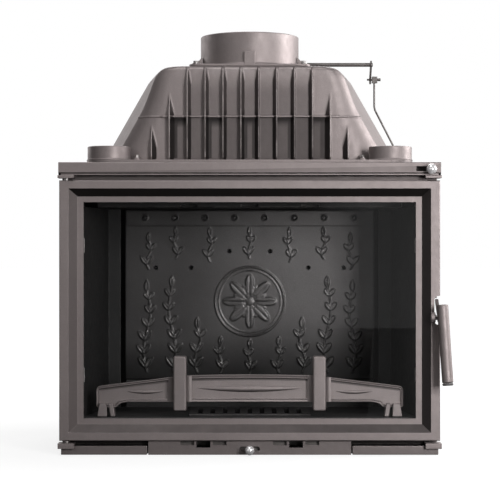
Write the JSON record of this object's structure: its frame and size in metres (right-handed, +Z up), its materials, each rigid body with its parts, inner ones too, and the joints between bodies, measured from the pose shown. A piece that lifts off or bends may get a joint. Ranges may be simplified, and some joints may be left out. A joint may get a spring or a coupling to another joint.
{
  "type": "fireplace insert",
  "caption": "Cast-iron fireplace insert with a glazed side-hung door, ribbed smoke hood, round flue collar with a damper, and an air slider under the door.",
  "frame": {"origin": "middle of the base's flat underside", "axes": "+Z up, +X to the right as seen from the front, +Y to the back; the door faces -Y"},
  "size_m": [0.7503, 0.4945, 0.8261],
  "materials": {
    "painted_iron": "heat-proof matt paint over fine sand-cast texture, warm mid grey",
    "soot_dark_iron": "dark matt cast iron",
    "bright_steel": "dull drawn steel",
    "chrome_ball": "polished",
    "seal_rope": "woven glass-fibre rope and tape, dark grey",
    "stove_glass": "clear glass ceramic"
  },
  "bodies": {
    "stove_body": {"base_plate": "painted_iron", "air_cover": "painted_iron", "front_frame": "painted_iron", "back_wall": "painted_iron", "top_plate": "painted_iron", "hood": "painted_iron", "flue_collar": "painted_iron", "log_guard": "painted_iron", "latch_keeper": "painted_iron", "side_wall_left": "painted_iron", "side_wall_right": "painted_iron", "hot_air_collar_left": "painted_iron", "hot_air_collar_right": "painted_iron", "collar_lid_left": "painted_iron", "collar_lid_right": "painted_iron", "hinge_lug_lower": "painted_iron", "hinge_lug_upper": "painted_iron", "plain_lug_lower": "painted_iron", "plain_lug_upper": "painted_iron", "fireback": "soot_dark_iron", "baffle": "soot_dark_iron", "firebox_floor": "soot_dark_iron", "grate": "soot_dark_iron", "side_liner_left": "soot_dark_iron", "side_liner_right": "soot_dark_iron", "ash_pan": "bright_steel", "hinge_pin_lower": "bright_steel", "hinge_pin_upper": "bright_steel", "hood_bolt_front_left": "bright_steel", "flue_bolt_front_left": "bright_steel", "hood_bolt_front_right": "bright_steel", "flue_bolt_front_right": "bright_steel", "hood_bolt_back_left": "bright_steel", "flue_bolt_back_left": "bright_steel", "hood_bolt_back_right": "bright_steel", "flue_bolt_back_right": "bright_steel"},
    "door": {"door_frame": "painted_iron", "door_gasket": "seal_rope", "glass_gasket": "seal_rope", "door_glass": "stove_glass", "handle_boss": "painted_iron", "glass_clip_lower_left": "bright_steel", "glass_clip_upper_left": "bright_steel", "glass_clip_lower_right": "bright_steel", "glass_clip_upper_right": "bright_steel"},
    "handle": {"handle_spindle": "bright_steel", "handle_lever": "painted_iron", "handle_grip": "painted_iron", "handle_cap": "soot_dark_iron"},
    "damper": {"damper_plate": "soot_dark_iron", "damper_shaft": "bright_steel", "damper_crank": "bright_steel"},
    "damper_pull": {"pull_wire": "bright_steel", "wire_clamp": "bright_steel", "clamp_screw": "bright_steel", "damper_knob": "chrome_ball"},
    "air_control": {"air_slider": "bright_steel", "air_knob_stem": "bright_steel", "air_knob": "chrome_ball"}
  },
  "joints": [
    {"name": "door_hinge", "type": "hinge", "parent": "stove_body", "child": "door", "pos_m": [-0.351, -0.217, 0.276], "axis": [0, 0, -1], "range_deg": [0, 105]},
    {"name": "handle_lift", "type": "hinge", "parent": "door", "child": "handle", "pos_m": [0.357, -0.237, 0.263], "axis": [-1, 0, 0], "range_deg": [0, 45]},
    {"name": "damper_turn", "type": "hinge", "parent": "stove_body", "child": "damper", "pos_m": [0, 0, 0.7711], "axis": [-1, 0, 0], "range_deg": [0, 80]},
    {"name": "damper_pull_slide", "type": "slide", "parent": "stove_body", "child": "damper_pull", "axis": [0, -1, 0], "range_m": [0, 0.047]},
    {"name": "air_slide", "type": "slide", "parent": "stove_body", "child": "air_control", "axis": [1, 0, 0], "range_m": [-0.012, 0.012]}
  ],
  "couplings": [
    {"joint": "damper_pull_slide", "follows": "damper_turn", "m_per_rad": 0.03365}
  ]
}
